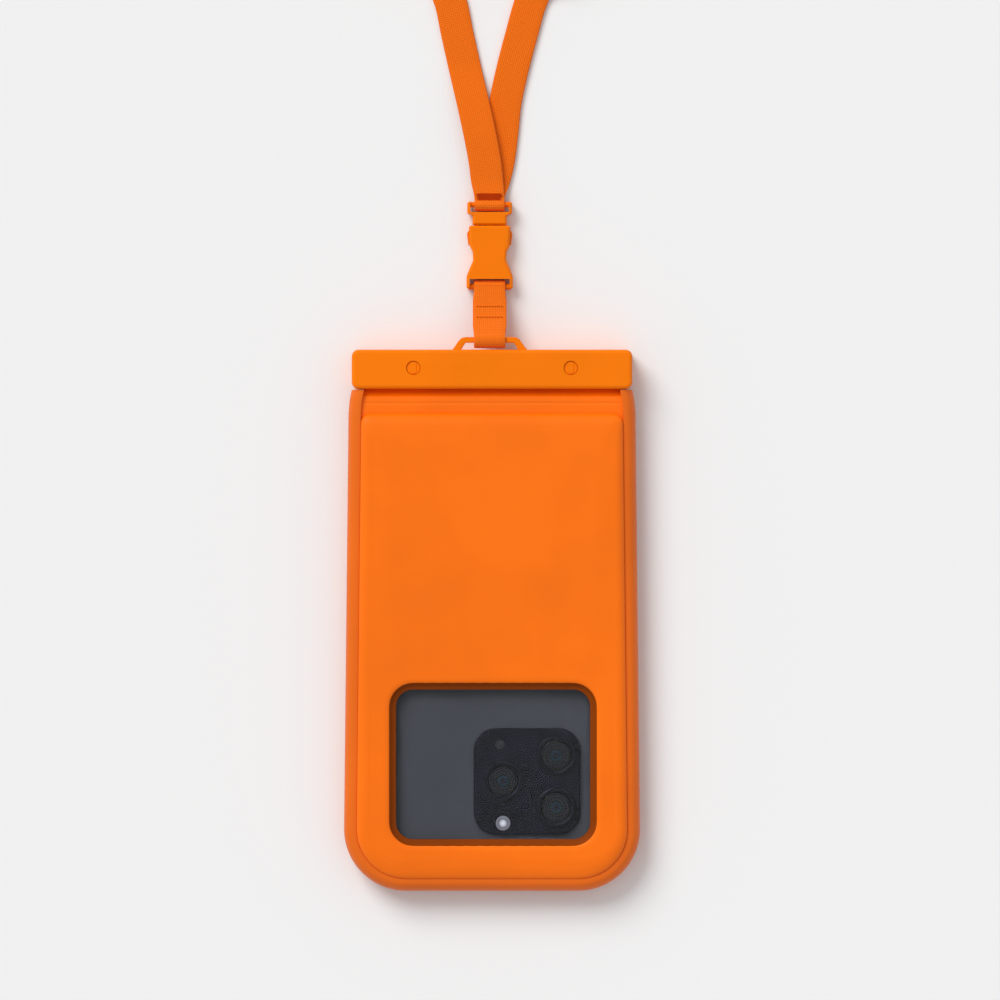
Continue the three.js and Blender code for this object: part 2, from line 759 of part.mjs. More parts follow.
// One side of the neck strap: flat as far as the twist, then turning onto its edge
function strapLead(route, side) {
  const startZ = buckleZ + side * strapLift;
  const flat = route.map(([x, y, z]) => new THREE.Vector3(x, plugBarY + y, startZ + z));
  const last = flat.at(-1);
  const endX = Math.sign(last.x) * (hankFootWidth / 2);
  const edgeZ = hankFloor + strapWidth / 2;
  const turned = [0.3, 0.6, 0.9, 1].map((part) => {
    const settled = Math.min(part / 0.9, 1);
    return new THREE.Vector3(
      THREE.MathUtils.lerp(last.x, endX, Math.sin((settled * Math.PI) / 2)),
      last.y + (twistLength - gap) * part,
      THREE.MathUtils.lerp(last.z, edgeZ, THREE.MathUtils.smoothstep(settled, 0, 1)),
    );
  });
  const curve = new THREE.CatmullRomCurve3([...flat, ...turned], false, 'centripetal');
  const steps = 38;
  const centres = curve.getSpacedPoints(steps);
  const across = centres.map((centre) => {
    const turn = THREE.MathUtils.smoothstep(centre.y, last.y, turned[2].y) * (Math.PI / 2);
    return new THREE.Vector3(Math.cos(turn), 0, Math.sin(turn));
  });
  centres.forEach((centre, k) => {
    const reach = (strapWidth / 2) * across[k].z + (webbing / 2) * across[k].x;
    centre.z = Math.max(centre.z, reach + strapRest);
  });
  return ribbon(centres, across);
}

// Outer shape of the folded rest of the strap: drawn in by its tie, with two folds at its far end
function strapHank() {
  const far = hankY + hankLength - foldRadius - webbing / 2;
  const fold = arc(foldSpacing / 2 + foldRadius, far, foldRadius + webbing / 2, 0, Math.PI / 2, 6);
  const halfAt = (y) => {
    const reach = y < hankMiddle ? hankMiddle - hankY : far - hankMiddle;
    const away = THREE.MathUtils.smoothstep(Math.abs(y - hankMiddle), tieLength, reach);
    const full = y < hankMiddle ? (hankFootWidth + webbing) / 2 : fold[0].x;
    return THREE.MathUtils.lerp((hankWaist + webbing) / 2, full, away);
  };
  const steps = 28;
  const side = Array.from({ length: steps }, (_, k) => {
    const y = THREE.MathUtils.lerp(hankY, far, k / steps);
    return new THREE.Vector2(halfAt(y), y);
  });
  const right = [...side, ...fold];
  const outline = new THREE.Shape([...right, ...mirrored(right)]);
  const geometry = new THREE.ExtrudeGeometry(outline, { depth: strapWidth, bevelEnabled: false });
  return geometry.translate(0, 0, hankFloor);
}

function hankTie() {
  const inside = { width: hankWaist + webbing + 3 * gap, length: strapWidth + 2 * gap, corner: 1 };
  const ring = new THREE.Shape(roundedBox(inside)(-tieThickness));
  ring.holes.push(new THREE.Path(roundedBox(inside)(0)));
  const geometry = new THREE.ExtrudeGeometry(ring, { depth: tieLength, bevelEnabled: false });
  return geometry.rotateX(Math.PI / 2).translate(0, hankMiddle + tieLength / 2, hankFloor + strapWidth / 2);
}

const pouch = new THREE.Group();

function add(name, geometry, look) {
  const mesh = new THREE.Mesh(geometry, look);
  mesh.name = name;
  pouch.add(mesh);
}

add('front_panel', frontPanel(), coverOrange);
add('front_window', windowFilm(touchWindow, frontLap, frontFilmZ), clearFilm);
add('rim_bumper', rimBumper(), coverOrange);
add('back_panel', backPanel(), coverOrange);
add('back_window', windowFilm(cameraWindow, backLap, backFilmZ), clearFilm);
add('float_pad', floatPad(), padGrey);

add('back_bar', backBar(), barOrange);
add('front_bar', frontBar(), barOrange);
add('bar_seal', barSeal(), sealGrey);
for (const [side, x] of Object.entries(lockPlaces)) {
  add(`${side}_lock_knob`, lockKnob(x), barOrange);
  add(`${side}_lock_pin`, lockPin(x), barOrange);
}

add('phone_body', phoneBody(), phoneGrey);
add('phone_screen', plate(phoneOutline, [[screenInset, screenZ], [screenInset, screenZ + screenThickness]]), glassBlack);
add('phone_camera_island', cameraIsland(), islandBlack);
for (const [place, [x, y]] of Object.entries(lensPlaces)) {
  add(`phone_lens_ring_${place}`, lensRim(x, y), ringDark);
  add(`phone_lens_glass_${place}`, onIsland(lensRadius - lensRing - gap, lensHeight - 0.5, [x, y]), glassBlack);
}
add('phone_flash', onIsland(flashRadius, lensHeight / 2, flashPlace), flashWhite);
add('phone_sensor', onIsland(sensorRadius, lensHeight / 2, sensorPlace), glassBlack);

add('lug_loop', lugLoop(), strapOrange);
add('buckle_socket', buckleSocket(), barOrange);
add('buckle_plug', bucklePlug(), barOrange);
add('neck_strap_left', strapLead(leftRoute, 1), strapOrange);
add('neck_strap_right', strapLead(rightRoute, -1), strapOrange);
add('neck_strap_hank', strapHank(), strapOrange);
add('hank_tie', hankTie(), sealGrey);

export default pouch;
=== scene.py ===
"""Looks of the waterproof phone pouch: covers, rim, window films, webbing, lenses and their finishes.

Lengths are written in millimetres and turned into metres when a mesh is made.
"""

import math
from collections import namedtuple

import bmesh
import bpy
import numpy as np
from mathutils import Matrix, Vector, noise


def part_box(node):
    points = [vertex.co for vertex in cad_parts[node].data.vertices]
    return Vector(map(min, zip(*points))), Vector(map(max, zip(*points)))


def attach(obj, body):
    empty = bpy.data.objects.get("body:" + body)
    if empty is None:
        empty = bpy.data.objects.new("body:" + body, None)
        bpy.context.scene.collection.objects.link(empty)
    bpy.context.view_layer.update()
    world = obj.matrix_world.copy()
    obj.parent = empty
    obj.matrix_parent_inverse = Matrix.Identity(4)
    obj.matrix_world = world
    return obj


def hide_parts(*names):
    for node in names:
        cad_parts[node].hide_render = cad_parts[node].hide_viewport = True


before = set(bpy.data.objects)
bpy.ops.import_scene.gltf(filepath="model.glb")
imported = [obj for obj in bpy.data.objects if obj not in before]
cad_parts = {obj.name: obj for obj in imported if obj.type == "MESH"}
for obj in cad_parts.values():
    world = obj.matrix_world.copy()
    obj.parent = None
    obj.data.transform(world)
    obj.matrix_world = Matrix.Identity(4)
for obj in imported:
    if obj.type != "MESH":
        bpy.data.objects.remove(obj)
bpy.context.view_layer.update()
MM = 0.001

# The photograph: millimetres to one of its pixels, and where the pouch lies in it
PHOTO_SCALE = 0.381
PHOTO_MIDDLE = (500, 500)
POUCH_MIDDLE_X = 492
BAR_TOP_Y = 349.5
CAMERA_HEIGHT = 3200
FOCUS_HEIGHT = 14.5

# Clearances and walls, as in the solids
GAP = 0.3
SKIN = 1.2


def box(node):
    """Lowest and highest corner of a CAD node, in millimetres."""
    low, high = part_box(node)
    return np.array(low) / MM, np.array(high) / MM


RIM_LOW, RIM_HIGH = box("rim_bumper")
BACK_HIGH = box("back_panel")[1]
FRONT_LOW, FRONT_HIGH = box("front_panel")
FOOT_Y = RIM_LOW[1]
BAR_Y = box("front_bar")[0][1]
CROWN_Y = box("front_bar")[1][1]
MIDDLE_Z = (RIM_LOW[2] + RIM_HIGH[2]) / 2

# Outline of the pouch
POUCH_WIDTH = 113
SHOULDER_TAPER = 1.7
BAR_WIDTH = 107
BOTTOM_RADIUS = 23.6
SHOULDER_Y = BAR_Y - 10
PANEL_Y = BAR_Y - 9.15
PANEL_CORNER = 4
RIM_WIDTH = 4.8
RIM_ROUND = 4
RIM_FALL = 4.6
SEAM = 0.03
PANEL_INSET = RIM_WIDTH + SEAM
LEDGE_WIDTH = 3.2
LEDGE_HEIGHT = 6.2
LEDGE_TOP = MIDDLE_Z + LEDGE_HEIGHT / 2
LEDGE_FOOT = MIDDLE_Z - LEDGE_HEIGHT / 2


def in_photo(x, y):
    """The row-frame place, in millimetres, of a pixel of the photograph."""
    return (x - POUCH_MIDDLE_X) * PHOTO_SCALE, CROWN_Y - (y - BAR_TOP_Y) * PHOTO_SCALE


# Camera


def camera():
    x, y = in_photo(*PHOTO_MIDDLE)
    data = bpy.data.cameras.new("camera")
    data.sensor_width = 36
    data.lens = data.sensor_width * (CAMERA_HEIGHT - FOCUS_HEIGHT) / (1000 * PHOTO_SCALE)
    data.clip_start = 0.1
    data.clip_end = 20
    view = bpy.data.objects.new("camera", data)
    view.location = (x * MM, y * MM, CAMERA_HEIGHT * MM)
    bpy.context.scene.collection.objects.link(view)
    bpy.context.scene.camera = view


# Meshes


def mesh_object(name, points, faces, uv=None):
    """A smooth-shaded object from points in millimetres; uv gives each point's place on its cloth."""
    mesh = bpy.data.meshes.new(name)
    mesh.from_pydata([tuple(p) for p in np.asarray(points, float) * MM], [], faces)
    mesh.polygons.foreach_set("use_smooth", [True] * len(mesh.polygons))
    if uv is not None:
        layer = mesh.uv_layers.new(name="cloth")
        corners = np.zeros(len(mesh.loops), np.int32)
        mesh.loops.foreach_get("vertex_index", corners)
        layer.data.foreach_set("uv", np.asarray(uv, np.float32)[corners].ravel())
    mesh.update()
    piece = bpy.data.objects.new(name, mesh)
    bpy.context.scene.collection.objects.link(piece)
    return piece


def joined(parts):
    """Points and faces of several (points, faces) pairs as one."""
    points, faces, start = [], [], 0
    for some, sides in parts:
        points.append(np.asarray(some, float))
        faces += [[k + start for k in side] for side in sides]
        start += len(some)
    return np.concatenate(points), faces


def skin_faces(rings, count, wrap):
    """Quads between rings of points; wrap closes the last ring onto the first."""
    faces = []
    for a in range(rings if wrap else rings - 1):
        b = (a + 1) % rings
        for k in range(count):
            n = (k + 1) % count
            faces.append([a * count + k, a * count + n, b * count + n, b * count + k])
    return faces


def loft(rings, wrap=False):
    """Points and faces of a skin through rings, with flat ends where it isn't wrapped."""
    count = len(rings[0])
    points = np.concatenate([np.asarray(ring, float) for ring in rings])
    faces = skin_faces(len(rings), count, wrap)
    if not wrap:
        faces.append(list(range(count))[::-1])
        faces.append(list(range(len(points) - count, len(points))))
    return points, faces


def turned(profile, x, y, z, steps=64):
    """A closed [radius, z] profile turned about an upright axis."""
    angles = np.linspace(0, 2 * np.pi, steps, endpoint=False)
    rings = [[(x + r * np.cos(a), y + r * np.sin(a), z + h) for r, h in profile] for a in angles]
    return loft(rings, wrap=True)


def finished(piece, crease=math.radians(38)):
    """Turns the piece's faces outward and keeps its sharp edges sharp."""
    shape = bmesh.new()
    shape.from_mesh(piece.data)
    bmesh.ops.recalc_face_normals(shape, faces=shape.faces)
    for edge in shape.edges:
        edge.smooth = edge.calc_face_angle(0) < crease
    shape.to_mesh(piece.data)
    shape.free()
    return piece


def arc(x, y, radius, start, end, steps):
    angles = np.linspace(start, end, steps + 1)
    return np.stack([x + radius * np.cos(angles), y + radius * np.sin(angles)], axis=1)


def smoothstep(t):
    t = np.clip(t, 0, 1)
    return t * t * (3 - 2 * t)


# Outlines


def half_width(y):
    """Half the pouch's width at a height."""
    low = FOOT_Y + BOTTOM_RADIUS
    shoulder = POUCH_WIDTH / 2 - SHOULDER_TAPER
    side = np.interp(y, [low, SHOULDER_Y], [POUCH_WIDTH / 2, shoulder])
    up = np.clip((y - SHOULDER_Y) / (BAR_Y - SHOULDER_Y), 0, None)
    return side - (shoulder - BAR_WIDTH / 2) * up**2


def right_side(inset, top, steps=40):
    """Right side of the pouch, from the middle of its foot to the given height."""
    low = FOOT_Y + BOTTOM_RADIUS
    corner = arc(POUCH_WIDTH / 2 - BOTTOM_RADIUS, low, BOTTOM_RADIUS - inset, -math.pi / 2, 0, 24)
    heights = np.linspace(low, top, steps)[1:]
    return np.concatenate([corner, np.stack([half_width(heights) - inset, heights], axis=1)])


def with_mirror(right):
    left = right[::-1] * [-1, 1]
    return np.concatenate([left, right])


def rim_path(inset, top):
    return with_mirror(right_side(inset, top))


def panel_outline(inset):
    """Closed outline of a cover, drawn in by inset from its edge."""
    top = PANEL_Y - inset
    radius = max(PANEL_CORNER - inset, 0.4)
    edge = half_width(top) - PANEL_INSET - inset
    side = right_side(PANEL_INSET + inset, top - radius)[:-1]
    corner = arc(edge - radius, top - radius, radius, 0, math.pi / 2, 12)
    return with_mirror(np.concatenate([side, corner]))


def window_outline(window, outset):
    """Closed outline of a window opening, widened by outset."""
    x, y, width, length, corner = window
    radius = corner + outset
    dx, dy = width / 2 - corner, length / 2 - corner
    quarters = [(1, -1, -1), (1, 1, 0), (-1, 1, 1), (-1, -1, 2)]
    return np.concatenate([
        arc(x + sx * dx, y + sy * dy, radius, turn * math.pi / 2, (turn + 1) * math.pi / 2, 16)
        for sx, sy, turn in quarters
    ])


def seen_from(centre, outline, angles):
    """Points of a closed outline in each direction from a centre inside it."""
    fine = np.concatenate([outline, outline[:1]])
    steps = np.linspace(0, 1, 12, endpoint=False)[:, None]
    fine = np.concatenate([a + (b - a) * steps for a, b in zip(fine[:-1], fine[1:])])
    away = fine - centre
    bearing = np.arctan2(away[:, 1], away[:, 0])
    order = np.argsort(bearing)
    radius = np.interp(angles, bearing[order], np.hypot(*away.T)[order], period=2 * np.pi)
    return centre + np.stack([np.cos(angles), np.sin(angles)], axis=1) * radius[:, None]


# Windows as (x, y, width, length, corner)
CAMERA_WINDOW = (0.4, FOOT_Y + 48.4, 79, 62, 9)
TOUCH_WINDOW = (0, FOOT_Y + 95.2, 84, 152, 7)
BACK_LAP = 4.5
FRONT_LAP = 3.5


# Covers

UNEVEN = 0.09
NECK_WELDS = (BAR_Y - 5.4, BAR_Y - 2.2)
CROWN_REACH = 22
WINDOW_REACH = 16
NECK_SHEET = 0.6

# face, foot and lip: heights of a cover's outside, of its edge and of its window lip's end.
# puff is how far its edge drops, and the rounds how far in from the edge it does so.
Cover = namedtuple("Cover", (
    "window face foot lip puff head_puff side_round head_round foot_round crown lip_roll lip_drop"))


def round_the_edge(window, count=460):
    """Directions from the window's middle to points spaced evenly round a cover's edge."""
    around = panel_outline(0)
    closed = np.concatenate([around, around[:1]])
    at = np.concatenate([[0], np.cumsum(np.hypot(*np.diff(closed, axis=0).T))])
    along = np.linspace(0, at[-1], count, endpoint=False)
    spots = np.stack([np.interp(along, at, closed[:, k]) for k in range(2)], axis=1)
    angles = np.arctan2(*(spots - np.array(window[:2])).T[::-1])
    ahead = np.roll(spots, -1, axis=0) - np.roll(spots, 1, axis=0)
    return angles, (ahead[:, 0] / np.hypot(*ahead.T)) ** 2


def cover_surface(cover):
    """Points and faces of a moulded cover round its window: outside, lip, inside."""
    window, face, foot, lip, puff, head_puff = cover[:6]
    side_round, head_round, foot_round, crown, lip_roll, lip_drop = cover[6:]
    centre = np.array(window[:2])
    angles, facing_end = round_the_edge(window)
    at_head = facing_end * (np.sin(angles) > 0)
    at_foot = facing_end - at_head
    roll = side_round + (head_round - side_round) * at_head + (foot_round - side_round) * at_foot
    depth_of_edge = puff + (head_puff - puff) * at_head
    out = math.copysign(1, face - foot)
    rings = []

    def outside(depth, from_window, xy):
        """Height of the outside at a depth from the edge and a distance from the window."""
        short = 1 - np.clip(depth / roll, 0, 1)
        fall = depth_of_edge * (1 - np.sqrt(1 - short**2))
        lean = np.clip(1 - from_window / lip_roll, 0, 1)
        drop = lip_drop * (1 - np.sqrt(1 - lean**2))
        swell = crown * smoothstep(depth / CROWN_REACH) * smoothstep(from_window / WINDOW_REACH)
        uneven = [UNEVEN * noise.noise(Vector((x / 17, y / 17, 3.1))) for x, y in xy]
        return face + out * (swell - fall - drop + np.array(uneven) * (1 - short))

    def ring(outline, z):
        xy = seen_from(centre, outline, angles)
        rings.append(np.column_stack([xy, np.broadcast_to(z, len(xy))]))

    def outside_ring(xy, depth, from_window):
        rings.append(np.column_stack([xy, outside(depth, from_window, xy)]))

    ring(panel_outline(0), foot)
    ring(panel_outline(0), foot + out * 0.5)
    depths = [0, 0.06, 0.2, 0.45, 0.8, 1.25, 1.8, 2.4, 3.1, 3.9, 4.8]
    for depth in depths:
        outside_ring(seen_from(centre, panel_outline(depth), angles), depth, 50)
    inner = seen_from(centre, panel_outline(depths[-1]), angles)
    hem = seen_from(centre, window_outline(window, lip_roll), angles)
    apart = np.hypot(*(inner - hem).T)
    for part in np.linspace(0, 1, 30)[1:-1]:
        xy = inner + (hem - inner) * part
        outside_ring(xy, depths[-1] + apart * part, lip_roll + apart * (1 - part))
    for share in [1, 0.82, 0.65, 0.5, 0.36, 0.24, 0.14, 0.06, 0.015, 0]:
        xy = seen_from(centre, window_outline(window, lip_roll * share), angles)
        outside_ring(xy, depths[-1] + apart, lip_roll * share)
    ring(window_outline(window, 0), lip + out * 0.25)
    ring(window_outline(window, 0.25), lip)
    ring(window_outline(window, 1.4), lip)
    ring(window_outline(window, 1.6), face - out * SKIN)
    ring(panel_outline(side_round + SKIN), face - out * (SKIN + 0.2))
    ring(panel_outline(SKIN), face - out * (depth_of_edge + 0.4))
    ring(panel_outline(SKIN), foot)
    return loft(rings, wrap=True)


def neck_surface(profile):
    """The neck's sheet between the rims: a [y, z] profile with weld lines across it and ripples."""
    fine = bezier_through(profile, 90)
    ahead = np.gradient(fine, axis=0)
    normal = np.stack([-ahead[:, 1], ahead[:, 0]], axis=1) / np.hypot(*ahead.T)[:, None]
    for weld in NECK_WELDS:
        fine = fine - normal * 0.22 * np.exp(-(((fine[:, 0] - weld) / 0.4) ** 2))[:, None]
    half_sheet = normal * NECK_SHEET / 2
    section = np.concatenate([fine + half_sheet, (fine - half_sheet)[::-1]])
    y = section[:, 0]
    half = half_width(np.minimum(y, BAR_Y)) - PANEL_INSET
    free = np.sin(np.pi * np.clip((y - y.min()) / (BAR_Y - y.min()), 0, 1)) ** 2
    rings = []
    for share in np.linspace(-1, 1, 120):
        x = share * half
        ripple = np.array([noise.noise(Vector((a / 13, b / 6, 7.7))) for a, b in zip(x, y)])
        rings.append(np.column_stack([x, y, section[:, 1] + 0.2 * ripple * free]))
    return loft(rings)


def bezier_through(points, count):
    """A smooth plane line through points, evenly spaced."""
    points = np.asarray(points, float)
    ends = np.concatenate([2 * points[:1] - points[1:2], points, 2 * points[-1:] - points[-2:-1]])
    line = []
    for k in range(1, len(ends) - 2):
        a, b, c, d = ends[k - 1 : k + 3]
        for t in np.linspace(0, 1, 24, endpoint=False):
            line.append(0.5 * (2 * b + (c - a) * t + (2 * a - 5 * b + 4 * c - d) * t**2
                               + (3 * b - a - 3 * c + d) * t**3))
    return evenly(np.array(line + [points[-1]]), count)


def evenly(line, count):
    """The line again, as points the same distance apart."""
    along = np.concatenate([[0], np.cumsum(np.linalg.norm(np.diff(line, axis=0), axis=1))])
    at = np.linspace(0, along[-1], count)
    return np.stack([np.interp(at, along, line[:, k]) for k in range(line.shape[1])], axis=1)


def back_cover(look):
    face = BACK_HIGH[2]
    lip = box("back_window")[1][2] + GAP
    sheet_z = MIDDLE_Z + GAP + 0.15
    cover = Cover(
        CAMERA_WINDOW, face, LEDGE_TOP + GAP, lip, puff=2.5, head_puff=3.7, side_round=3.4,
        head_round=6.5, foot_round=9.5, crown=0.45, lip_roll=2.4, lip_drop=0.7,
    )
    neck = neck_surface([
        [PANEL_Y - 4.6, face - 4.2],
        [PANEL_Y - 0.3, face - 4.1],
        [PANEL_Y + 3.6, face - 4.15],
        [PANEL_Y + 6.4, face - 4.6],
        [BAR_Y - 0.6, sheet_z + 0.9],
        [BAR_Y + 0.8, sheet_z],
        [BACK_HIGH[1], sheet_z],
    ])
    piece = finished(mesh_object("back_cover", *joined([cover_surface(cover), neck])))
    return dressed(piece, "pouch", look, "cover", "back_panel")


def front_cover(look):
    lip = box("front_window")[0][2] - GAP
    sheet_z = MIDDLE_Z - GAP - 0.15
    top = LEDGE_FOOT - GAP
    cover = Cover(
        TOUCH_WINDOW, FRONT_LOW[2], top, lip, puff=2.4, head_puff=2.4, side_round=3.4,
        head_round=4.2, foot_round=4.2, crown=0, lip_roll=1.2, lip_drop=0.5,
    )
    neck = neck_surface([
        [PANEL_Y - 4.6, top - 1.5],
        [PANEL_Y - 0.3, top - 1.6],
        [PANEL_Y + 3.6, top - 1.3],
        [PANEL_Y + 5.8, top - 0.4],
        [BAR_Y - 1, sheet_z - 0.5],
        [BAR_Y + 0.6, sheet_z],
        [FRONT_HIGH[1], sheet_z],
    ])
    piece = finished(mesh_object("front_cover", *joined([cover_surface(cover), neck])))
    return dressed(piece, "pouch", look, "cover", "front_panel")


def rounded(across, up, inset, z, steps=10):
    """Section points of a round edge from its side to its face."""
    angles = np.linspace(0, math.pi / 2, steps + 1)
    return [(inset + across * (1 - math.cos(a)), z - up * (1 - math.sin(a))) for a in angles]


def swept(section, top):
    """Points and faces of an [inset, z] section carried round the pouch's foot to a height."""
    lines = []
    for inset, z in section:
        path = rim_path(inset, top)
        lines.append(np.column_stack([path, np.full(len(path), z)]))
    return loft(np.swapaxes(np.array(lines), 0, 1))


def rim(look):
    """The rim bumper: a round band with a fine parting line, and the ledge that carries the covers."""
    low, high = RIM_LOW[2], RIM_HIGH[2]
    side = rounded(RIM_ROUND, RIM_FALL, 0, high)
    inner = [(RIM_WIDTH - 0.15, high), (RIM_WIDTH - 0.05, high - 0.02), (RIM_WIDTH, high - 0.12)]
    upper = [(0.22, MIDDLE_Z + 0.02), (0.2, MIDDLE_Z + 0.12), (0, MIDDLE_Z + 0.25), *side, *inner]
    lower = [(inset, 2 * MIDDLE_Z - z) for inset, z in upper][::-1]
    ledge = [
        (RIM_WIDTH - 1, LEDGE_TOP), (RIM_WIDTH - 1, LEDGE_FOOT),
        (RIM_WIDTH + LEDGE_WIDTH, LEDGE_FOOT), (RIM_WIDTH + LEDGE_WIDTH, LEDGE_TOP),
    ]
    parts = [swept(upper + lower, BAR_Y - GAP), swept(ledge, PANEL_Y - 3.4)]
    piece = finished(mesh_object("rim", *joined(parts)))
    return dressed(piece, "pouch", look, "cover", "rim_bumper")


def window_bezel(look):
    """The band that slopes from the camera window's lip down to its film, coloured dark orange as
    painted shade.
    """
    foot = box("back_window")[1][2]
    slope = [
        (0.2, 1.5), (0.1, 1.55), (-0.1, 1.5), (-0.5, 1.1), (-0.95, 0.62), (-1.4, 0.32), (-1.9, 0.2),
        (-2.35, 0.16), (-2.5, 0.02), (0.2, 0.02),
    ]
    rings = []
    for outset, rise in slope:
        xy = window_outline(CAMERA_WINDOW, outset)
        rings.append(np.column_stack([xy, np.full(len(xy), foot + rise)]))
    piece = finished(mesh_object("window_bezel", *loft(rings, wrap=True)))
    return dressed(piece, "pouch", look, "cover")


def window_film(name, node, window, lap, look, wave):
    """A clear film a little out of flat, thicker than nothing."""
    low, high = box(node)
    centre = np.array(window[:2])
    angles = np.linspace(-np.pi, np.pi, 240, endpoint=False)
    edge = seen_from(centre, window_outline(window, lap), angles)
    rings = []
    for z in (low[2], high[2]):
        shares = [1, 0.985, 0.95, 0.9, 0.8, 0.7, 0.6, 0.5, 0.4, 0.3, 0.2, 0.1, 0.02]
        for share in shares if z == low[2] else shares[::-1]:
            xy = centre + (edge - centre) * share
            bow = [wave * noise.noise(Vector((x / 24, y / 24, 1.3))) for x, y in xy]
            rings.append(np.column_stack([xy, z + np.array(bow) * smoothstep((1 - share) * 8)]))
    piece = finished(mesh_object(name, *loft(rings, wrap=True)))
    return dressed(piece, "pouch", look, "window_film", node)


def dressed(piece, body, look, slot, *nodes):
    """Gives a piece its finish, body and the nodes that it stands for."""
    piece.data.materials.append(look)
    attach(piece, body)
    if nodes:
        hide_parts(*nodes)
    return piece


# Webbing


def strap_section(width, thickness):
    """Points round a strap's section, flat with round edges."""
    half, t = width / 2, thickness / 2
    edge = [(half - 0.6 * t * (1 - math.cos(a)), t * math.sin(a)) for a in np.linspace(-1.57, 1.57, 7)]
    flat = [(x, t) for x in np.linspace(half - 0.6 * t, -half + 0.6 * t, 7)[1:-1]]
    return np.array(edge + flat + [(-x, -z) for x, z in edge] + [(-x, -z) for x, z in flat])


def ribbon(centres, across, widths, thickness, name):
    """A flat strap along centres, its width along the given directions, with cloth coordinates."""
    centres = np.asarray(centres, float)
    ahead = np.gradient(centres, axis=0)
    ahead /= np.linalg.norm(ahead, axis=1)[:, None]
    across = across - (across * ahead).sum(1)[:, None] * ahead
    across /= np.linalg.norm(across, axis=1)[:, None]
    normal = np.cross(ahead, across)
    along = np.concatenate([[0], np.cumsum(np.linalg.norm(np.diff(centres, axis=0), axis=1))])
    rings, uv = [], []
    for centre, side, up, far, width in zip(centres, across, normal, along, widths):
        section = strap_section(width, thickness)
        rings.append(centre + section[:, :1] * side + section[:, 1:] * up)
        uv += [(x, far) for x, _ in section]
    points, faces = loft(rings)
    return finished(mesh_object(name, points, faces, uv), math.radians(60))


STRAP_WIDTH = 11.5
STRAP_FLARE = 0.9
WEBBING = 1.2
BACK_BAR_THICKNESS = 5.6
BUCKLE_BAR = 1.1
LUG_BAR = 2.2
LUG_THICKNESS = 3.2
LEFT_ROUTE = [
    (-0.9, 0, 0), (-1, 2.4, -1.25), (-1.2, 4.6, -1.35), (-1.9, 9.5, -1.8),
    (-2.9, 17.5, -1.6), (-4.8, 27.5, -1.5),
    (-7.4, 39.5, -2.5), (-10.4, 52.5, -4.1), (-13.3, 65.5, -4.45), (-16, 78, -4.45),
]
RIGHT_ROUTE = [
    (-0.9, 0, 0), (-0.9, 2.4, 1.3), (-0.6, 4.6, 1), (0.8, 9.5, -0.3),
    (2.6, 17.5, -0.35), (3.9, 27.5, -0.35),
    (5.2, 39.5, -0.35), (8, 52.5, -0.35), (11.4, 65.5, -0.35), (15, 78, -0.35),
]
STRAP_LIFT = 2.0
STRAP_REST = 0.5
HANK_LENGTH = 172
HANK_FOOT_HALF = 25
FOLD_RADIUS = 16
FOLD_SPACING = 12
WAIST_SHARE = 0.47
WAIST_RUNS = (6.3, 2.1)
FOOT_FOLD_RISE = 18
TIE_LENGTH = 8


def plug_bar():
    """Y and Z of the bar of the buckle's plug that the neck strap is threaded round."""
    low, high = box("buckle_plug")
    return high[1] - BUCKLE_BAR, (low[2] + high[2]) / 2


def lead(route, side, hank_y, hank_z):
    """One side of the neck strap, from the plug's bar to the hank, and its width's directions."""
    bar_y, bar_z = plug_bar()
    flat = np.array([(x, bar_y + y, bar_z + side * STRAP_LIFT + z) for x, y, z in route])
    last = flat[-1]
    end_x = math.copysign(HANK_FOOT_HALF, last[0])
    turn = []
    for part in (0.3, 0.6, 0.9, 1):
        settled = min(part / 0.9, 1)
        turn.append((
            last[0] + (end_x - last[0]) * math.sin(settled * math.pi / 2),
            last[1] + (hank_y - last[1]) * part,
            last[2] + (hank_z - last[2]) * smoothstep(settled),
        ))
    line = bezier_through(np.concatenate([flat, turn]), 110)
    turned_by = smoothstep((line[:, 1] - last[1]) / (turn[2][1] - last[1])) * math.pi / 2
    across = np.stack([np.cos(turned_by), np.zeros(len(line)), np.sin(turned_by)], axis=1)
    reach = (STRAP_WIDTH + STRAP_FLARE) / 2 * across[:, 2] + WEBBING / 2 * across[:, 0]
    line[:, 2] = np.maximum(line[:, 2], reach + STRAP_REST)
    return line, across


def half_hank(hank_y, hank_z):
    """Left half of the hank, from the left lead to the middle of the lower fold."""
    waist = hank_y + HANK_LENGTH * WAIST_SHARE
    far = hank_y + HANK_LENGTH - FOLD_RADIUS - WEBBING / 2
    near = hank_y + FOOT_FOLD_RISE
    fold_x = -(FOLD_SPACING / 2 + FOLD_RADIUS)

    def run(x0, y0, x1, y1, steps=34):
        t = np.linspace(0, 1, steps)
        return np.stack([x0 + (x1 - x0) * smoothstep(t), y0 + (y1 - y0) * t], axis=1)

    outer, inner = WAIST_RUNS
    plan = np.concatenate([
        run(-HANK_FOOT_HALF, hank_y, -outer, waist - TIE_LENGTH / 2)[1:],
        run(-outer, waist + TIE_LENGTH / 2, fold_x - FOLD_RADIUS, far),
        arc(fold_x, far, FOLD_RADIUS, math.pi, 0, 22)[1:-1],
        run(fold_x + FOLD_RADIUS, far, -inner, waist + TIE_LENGTH / 2),
        run(-inner, waist - TIE_LENGTH / 2, -FOLD_RADIUS, near),
        arc(0, near, FOLD_RADIUS, math.pi, 1.5 * math.pi, 12)[1:],
    ])
    return np.column_stack([plan, np.full(len(plan), hank_z)])


